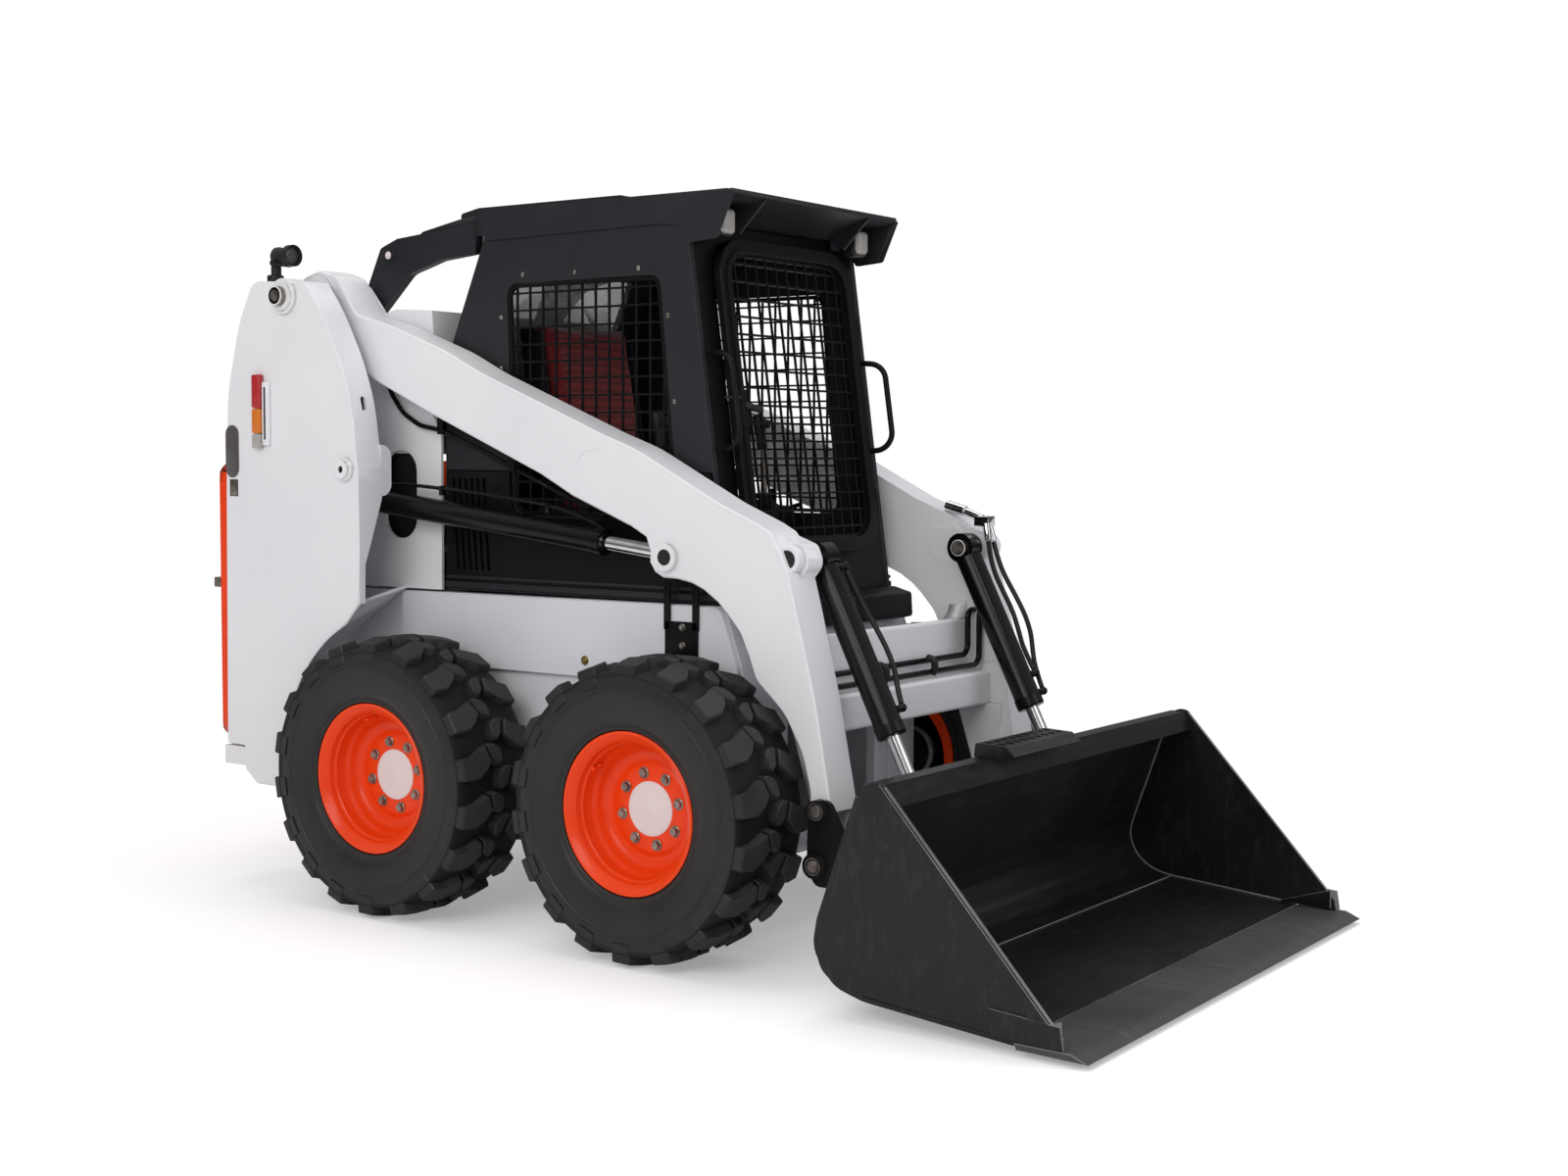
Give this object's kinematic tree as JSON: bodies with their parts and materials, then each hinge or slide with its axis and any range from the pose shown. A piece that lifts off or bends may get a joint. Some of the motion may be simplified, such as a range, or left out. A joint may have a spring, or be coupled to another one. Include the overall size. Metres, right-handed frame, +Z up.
{
  "type": "skid steer loader",
  "caption": "Compact skid steer loader with an enclosed mesh-guarded cab, hydraulic lift arms and a wide digging bucket on four lugged tyres.",
  "frame": {"origin": "middle of the machine's footprint box, on the ground", "axes": "+X forward over the bucket, +Y to the machine's left, +Z up"},
  "size_m": [3.32, 1.814, 2.178],
  "materials": {
    "white_paint": "white powder coat, lightly soiled",
    "black_paint": "satin black paint",
    "orange_paint": "red-orange gloss paint",
    "chassis_paint": "white machine paint",
    "cast_block": "oily cast iron",
    "chrome_rod": "hard chrome plated rod",
    "cylinder_paint": "gloss black paint",
    "tyre_rubber": "treaded rubber",
    "bucket_steel": "worn black paint over steel",
    "mesh_steel": "black coated wire",
    "window_glass": "grey tinted glass",
    "lamp_clear": "ribbed clear lamp lens",
    "seat_cover": "red seat cover over dark vinyl",
    "black_plastic": "grained black plastic",
    "tube_steel": "black hydraulic tube",
    "hose_rubber": "wrapped hydraulic hose"
  },
  "bodies": {
    "machine": {"chassis_frame": "chassis_paint", "axle_tubes": "cast_block", "tower_right": "white_paint", "tower_left": "white_paint", "rear_bumper": "white_paint", "engine_block": "cast_block", "engine_hood": "white_paint", "cab_sides": "black_paint", "cab_front": "black_paint", "cab_rear": "black_paint", "rear_window": "window_glass", "side_meshes": "mesh_steel", "cab_roof": "black_paint", "side_panels": "black_paint", "seat": "seat_cover", "control_levers": "black_plastic", "lamps": "lamp_clear"},
    "tail_door": {"tail_door": "orange_paint"},
    "cab_door": {"cab_door": "black_paint", "cab_door_mesh": "mesh_steel"},
    "boom": {"boom_arm_right": "white_paint", "boom_arm_left": "white_paint", "boom_crossmember": "white_paint", "boom_tubes": "tube_steel", "pivot_guards": "black_paint", "auxiliary_coupler": "chrome_rod"},
    "bucket": {"coupler": "black_paint", "bucket": "bucket_steel", "bucket_edge": "bucket_steel", "bucket_step": "black_paint"},
    "lift_barrel_right": {"lift_barrel_right": "cylinder_paint"},
    "lift_rod_right": {"lift_rod_right": "chrome_rod"},
    "tilt_barrel_right": {"tilt_barrel_right": "cylinder_paint", "tilt_hose_right": "hose_rubber"},
    "tilt_rod_right": {"tilt_rod_right": "chrome_rod"},
    "lift_barrel_left": {"lift_barrel_left": "cylinder_paint"},
    "lift_rod_left": {"lift_rod_left": "chrome_rod"},
    "tilt_barrel_left": {"tilt_barrel_left": "cylinder_paint", "tilt_hose_left_outer": "hose_rubber", "tilt_hose_left_inner": "hose_rubber"},
    "tilt_rod_left": {"tilt_rod_left": "chrome_rod"},
    "wheel_front_right": {"tyre_front_right": "tyre_rubber", "rim_front_right": "orange_paint"},
    "wheel_front_left": {"tyre_front_left": "tyre_rubber", "rim_front_left": "orange_paint"},
    "wheel_rear_right": {"tyre_rear_right": "tyre_rubber", "rim_rear_right": "orange_paint"},
    "wheel_rear_left": {"tyre_rear_left": "tyre_rubber", "rim_rear_left": "orange_paint"}
  },
  "joints": [
    {"name": "boom_lift", "type": "hinge", "parent": "machine", "child": "boom", "pos_m": [-1.245, 0, 1.89], "axis": [0, -1, 0], "range_deg": [0, 66]},
    {"name": "bucket_tilt", "type": "hinge", "parent": "boom", "child": "bucket", "pos_m": [0.692, 0, 0.306], "axis": [0, 1, 0], "range_deg": [-25, 94]},
    {"name": "cab_door_hinge", "type": "hinge", "parent": "machine", "child": "cab_door", "pos_m": [0.28338, 0.362, 1.10683], "axis": [-0.1406, 0, 0.9901], "range_deg": [0, 80]},
    {"name": "tail_door_hinge", "type": "hinge", "parent": "machine", "child": "tail_door", "pos_m": [-1.575, 0.7, 0.91], "axis": [0, 0, -1], "range_deg": [0, 95]},
    {"name": "lift_barrel_right_pivot", "type": "hinge", "parent": "machine", "child": "lift_barrel_right", "pos_m": [-1.215, -0.5175, 1.272], "axis": [0, -1, 0], "range_deg": [0, 58.82]},
    {"name": "lift_rod_right_slide", "type": "slide", "parent": "lift_barrel_right", "child": "lift_rod_right", "axis": [0.9937, 0, -0.1122], "range_m": [0, 0.637]},
    {"name": "tilt_barrel_right_pivot", "type": "hinge", "parent": "boom", "child": "tilt_barrel_right", "pos_m": [0.567, -0.395, 1.12], "axis": [0, 1, 0], "range_deg": [-0.95, 3.02]},
    {"name": "tilt_rod_right_slide", "type": "slide", "parent": "tilt_barrel_right", "child": "tilt_rod_right", "axis": [0.4478, 0, -0.8941], "range_m": [-0.0966, 0.3606]},
    {"name": "lift_barrel_left_pivot", "type": "hinge", "parent": "machine", "child": "lift_barrel_left", "pos_m": [-1.215, 0.5175, 1.272], "axis": [0, -1, 0], "range_deg": [0, 58.82]},
    {"name": "lift_rod_left_slide", "type": "slide", "parent": "lift_barrel_left", "child": "lift_rod_left", "axis": [0.9937, 0, -0.1122], "range_m": [0, 0.637]},
    {"name": "tilt_barrel_left_pivot", "type": "hinge", "parent": "boom", "child": "tilt_barrel_left", "pos_m": [0.567, 0.395, 1.12], "axis": [0, 1, 0], "range_deg": [-0.95, 3.02]},
    {"name": "tilt_rod_left_slide", "type": "slide", "parent": "tilt_barrel_left", "child": "tilt_rod_left", "axis": [0.4478, 0, -0.8941], "range_m": [-0.0966, 0.3606]},
    {"name": "wheel_front_right_axle", "type": "hinge", "parent": "machine", "child": "wheel_front_right", "pos_m": [0.215, -0.681, 0.425], "axis": [0, 1, 0], "continuous": true},
    {"name": "wheel_front_left_axle", "type": "hinge", "parent": "machine", "child": "wheel_front_left", "pos_m": [0.215, 0.681, 0.425], "axis": [0, 1, 0], "continuous": true},
    {"name": "wheel_rear_right_axle", "type": "hinge", "parent": "machine", "child": "wheel_rear_right", "pos_m": [-0.785, -0.681, 0.425], "axis": [0, 1, 0], "continuous": true},
    {"name": "wheel_rear_left_axle", "type": "hinge", "parent": "machine", "child": "wheel_rear_left", "pos_m": [-0.785, 0.681, 0.425], "axis": [0, 1, 0], "continuous": true}
  ],
  "couplings": [
    {"joint": "lift_barrel_right_pivot", "follows": "boom_lift", "ratio": 0.88367},
    {"joint": "lift_rod_right_slide", "follows": "boom_lift", "m_per_rad": 0.55125},
    {"joint": "tilt_barrel_right_pivot", "follows": "bucket_tilt", "ratio": 0.03},
    {"joint": "tilt_rod_right_slide", "follows": "bucket_tilt", "m_per_rad": 0.21916},
    {"joint": "lift_barrel_left_pivot", "follows": "boom_lift", "ratio": 0.88367},
    {"joint": "lift_rod_left_slide", "follows": "boom_lift", "m_per_rad": 0.55125},
    {"joint": "tilt_barrel_left_pivot", "follows": "bucket_tilt", "ratio": 0.03},
    {"joint": "tilt_rod_left_slide", "follows": "bucket_tilt", "m_per_rad": 0.21916}
  ]
}
